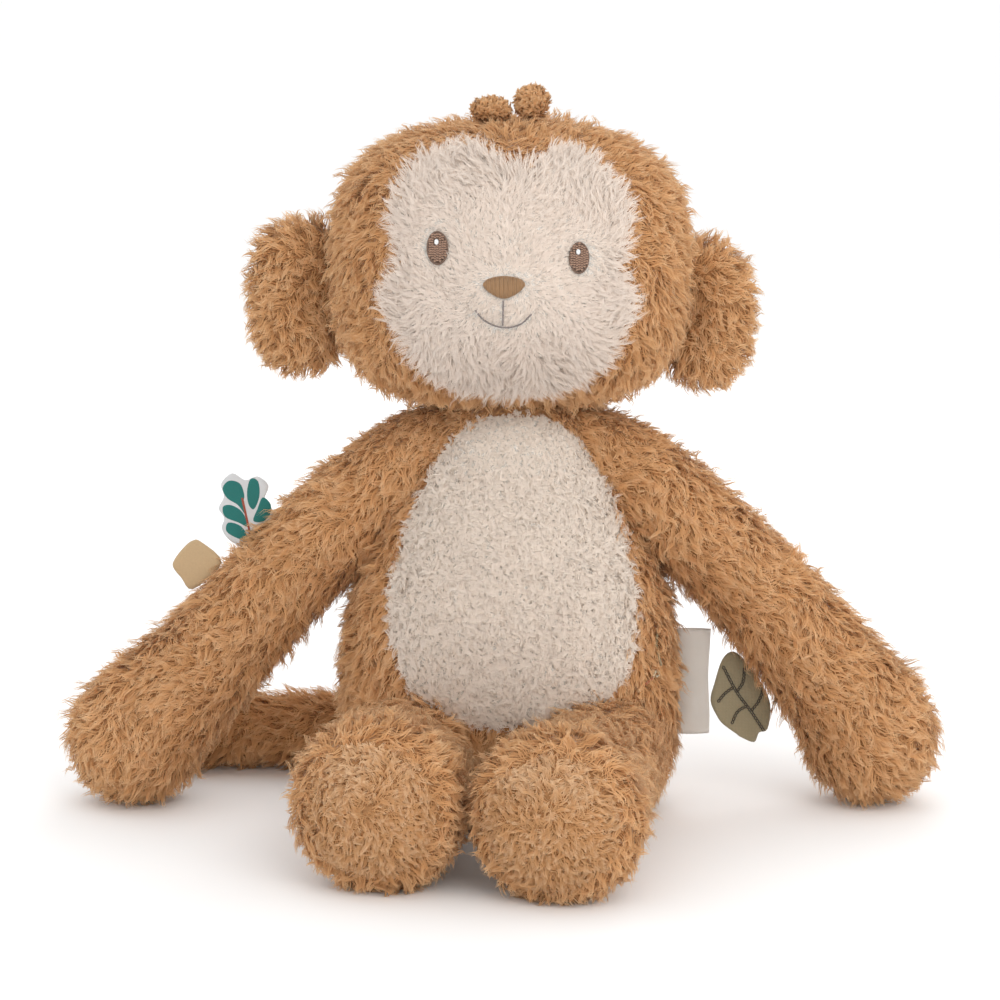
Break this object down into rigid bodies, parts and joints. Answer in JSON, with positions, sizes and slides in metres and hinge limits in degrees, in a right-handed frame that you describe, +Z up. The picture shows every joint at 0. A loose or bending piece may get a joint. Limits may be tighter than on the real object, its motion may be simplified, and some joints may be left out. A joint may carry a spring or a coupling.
{
  "type": "stuffed monkey",
  "caption": "seated plush monkey with a cream face and belly, long jointed arms resting on the floor, short legs, a tail, an embroidered face and sewn-in cloth tags",
  "frame": {"origin": "on the flat seat under the body, midway across and front to back of the seat", "axes": "+Z up, the toy faces -Y, +X is to the right as seen from in front"},
  "size_m": [0.3651, 0.2328, 0.3059],
  "materials": {
    "fawn_pile": "curly fawn pile cloth, matte",
    "sole_pile": "curly fawn pile cloth, a little paler and warmer",
    "cream_pile": "short cream pile cloth, matte",
    "fibre_filling": "loose white polyester fibre",
    "eye_thread": "satin stitch in grey-brown thread",
    "glint_thread": "white thread",
    "nose_thread": "satin stitch in tan thread",
    "mouth_thread": "fine line of grey-brown thread",
    "printed_cloth": "pale cotton printed with a leaf",
    "beige_felt": "soft beige ribbon",
    "sage_cloth": "sage cotton with stitched veins",
    "woven_tape": "folded off-white woven tape",
    "sage_thread": "thread",
    "pale_thread": "thread",
    "rust_thread": "thread"
  },
  "bodies": {
    "torso": {"body_skin": "fawn_pile", "belly_panel": "cream_pile", "body_filling": "fibre_filling", "twig_stem": "sage_thread", "twig_branch": "rust_thread", "twig_berry": "pale_thread"},
    "head": {"head_skin": "fawn_pile", "face_panel": "cream_pile", "head_filling": "fibre_filling", "left_eye": "eye_thread", "right_eye": "eye_thread", "left_eye_glint": "glint_thread", "right_eye_glint": "glint_thread", "nose": "nose_thread", "philtrum": "mouth_thread", "smile": "mouth_thread", "hair_loop_low": "fawn_pile", "hair_loop_tall": "fawn_pile"},
    "left_ear": {"left_ear_skin": "fawn_pile", "left_ear_filling": "fibre_filling"},
    "right_ear": {"right_ear_skin": "fawn_pile", "right_ear_filling": "fibre_filling"},
    "left_arm": {"left_arm_skin": "fawn_pile", "left_arm_filling": "fibre_filling"},
    "right_arm": {"right_arm_skin": "fawn_pile", "right_arm_filling": "fibre_filling"},
    "left_leg": {"left_leg_skin": "fawn_pile", "left_leg_filling": "fibre_filling", "left_sole": "sole_pile"},
    "right_leg": {"right_leg_skin": "fawn_pile", "right_leg_filling": "fibre_filling", "right_sole": "sole_pile"},
    "tail": {"tail_skin": "fawn_pile", "tail_filling": "fibre_filling"},
    "printed_leaf": {"printed_leaf_tag": "printed_cloth"},
    "ribbon": {"ribbon_tab": "beige_felt"},
    "sage_leaf": {"sage_leaf_tag": "sage_cloth"},
    "label": {"woven_label": "woven_tape"}
  },
  "joints": [
    {"name": "neck_nod", "type": "hinge", "parent": "torso", "child": "head", "pos_m": [0, 0, 0.158], "axis": [1, 0, 0], "range_deg": [-12, 18], "stiffness_Nm_per_rad": 0.25},
    {"name": "left_ear_fold", "type": "hinge", "parent": "head", "child": "left_ear", "pos_m": [-0.074, 0.005, 0.218], "axis": [0, 0, 1], "range_deg": [-20, 20], "stiffness_Nm_per_rad": 0.02},
    {"name": "right_ear_fold", "type": "hinge", "parent": "head", "child": "right_ear", "pos_m": [0.068, 0.005, 0.2105], "axis": [0, 0, -1], "range_deg": [-20, 20], "stiffness_Nm_per_rad": 0.02},
    {"name": "left_arm_raise", "type": "hinge", "parent": "torso", "child": "left_arm", "pos_m": [-0.048, 0.002, 0.143], "axis": [0, 1, 0], "range_deg": [0, 40]},
    {"name": "right_arm_raise", "type": "hinge", "parent": "torso", "child": "right_arm", "pos_m": [0.05, 0.002, 0.143], "axis": [0, -1, 0], "range_deg": [0, 40]},
    {"name": "left_leg_spread", "type": "hinge", "parent": "torso", "child": "left_leg", "pos_m": [-0.037, -0.036, 0.033], "axis": [0, 0, -1], "range_deg": [0, 22]},
    {"name": "right_leg_spread", "type": "hinge", "parent": "torso", "child": "right_leg", "pos_m": [0.038, -0.036, 0.033], "axis": [0, 0, 1], "range_deg": [0, 30]},
    {"name": "tail_sweep", "type": "hinge", "parent": "torso", "child": "tail", "pos_m": [-0.027, 0.038, 0.021], "axis": [0, 0, -1], "range_deg": [0, 25]},
    {"name": "printed_leaf_flap", "type": "hinge", "parent": "left_arm", "child": "printed_leaf", "pos_m": [-0.112, 0.005, 0.1145], "axis": [0.7071, 0, 0.7071], "range_deg": [-15, 15], "stiffness_Nm_per_rad": 0.01},
    {"name": "ribbon_tab_flap", "type": "hinge", "parent": "left_arm", "child": "ribbon", "pos_m": [-0.1293, 0.005, 0.0986], "axis": [0.6569, 0, 0.7539], "range_deg": [-15, 15], "stiffness_Nm_per_rad": 0.01},
    {"name": "sage_leaf_flap", "type": "hinge", "parent": "right_arm", "child": "sage_leaf", "pos_m": [0.1045, 0.008, 0.055], "axis": [-0.6402, 0, 0.7682], "range_deg": [-8, 20], "stiffness_Nm_per_rad": 0.01},
    {"name": "label_flap", "type": "hinge", "parent": "torso", "child": "label", "pos_m": [0.073, 0, 0.054], "axis": [0, 0, 1], "range_deg": [-20, 20], "stiffness_Nm_per_rad": 0.01}
  ]
}
